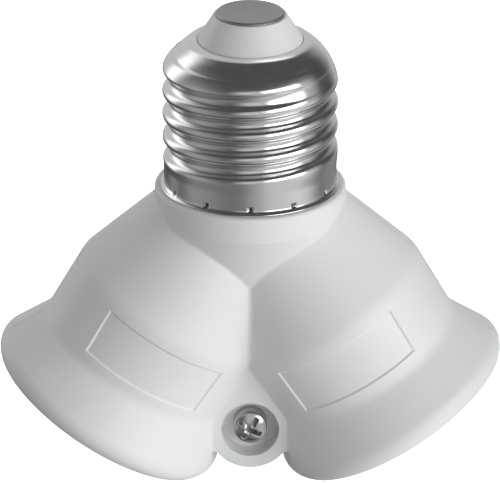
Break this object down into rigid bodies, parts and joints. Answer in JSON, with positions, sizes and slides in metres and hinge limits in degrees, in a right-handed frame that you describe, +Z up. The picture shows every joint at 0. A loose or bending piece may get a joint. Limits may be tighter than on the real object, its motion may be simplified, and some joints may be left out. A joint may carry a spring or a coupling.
{
  "type": "lamp socket adapter",
  "caption": "White plastic Y-shaped lamp socket adapter: a threaded metal screw cap on top feeds splayed bell-mouthed sockets below, its halves held by a screw between the arms.",
  "frame": {"origin": "on the screw cap's axis, where the cap's plain skirt meets the top of the neck", "axes": "+Z up along the cap's axis, +X to the viewer's right along the line of the two sockets, +Y away from the viewer"},
  "size_m": [0.0758, 0.0378, 0.0734],
  "materials": {
    "body_plastic": "satin white",
    "cap_nickel": "bright nickel plate",
    "contact_metal": "matte",
    "insulator_plastic": "smooth white",
    "screw_steel": "bright zinc plate",
    "socket_nickel": "bright nickel plate",
    "base_plastic": "matte white",
    "tongue_brass": "plain brass",
    "rivet_brass": "plain brass",
    "live_sleeve": "smooth brown",
    "neutral_sleeve": "smooth blue"
  },
  "bodies": {
    "root": {"front_housing": "body_plastic", "rear_housing": "body_plastic", "housing_screw": "screw_steel", "cap_shell": "cap_nickel", "cap_insulator": "insulator_plastic", "cap_contact": "contact_metal", "left_socket_shell": "socket_nickel", "left_socket_base": "base_plastic", "left_shell_rivet": "rivet_brass", "left_contact_tongue": "tongue_brass", "left_contact_rivet": "rivet_brass", "left_live_wire": "live_sleeve", "left_neutral_wire": "neutral_sleeve", "right_socket_shell": "socket_nickel", "right_socket_base": "base_plastic", "right_shell_rivet": "rivet_brass", "right_contact_tongue": "tongue_brass", "right_contact_rivet": "rivet_brass", "right_live_wire": "live_sleeve", "right_neutral_wire": "neutral_sleeve"}
  },
  "joints": []
}
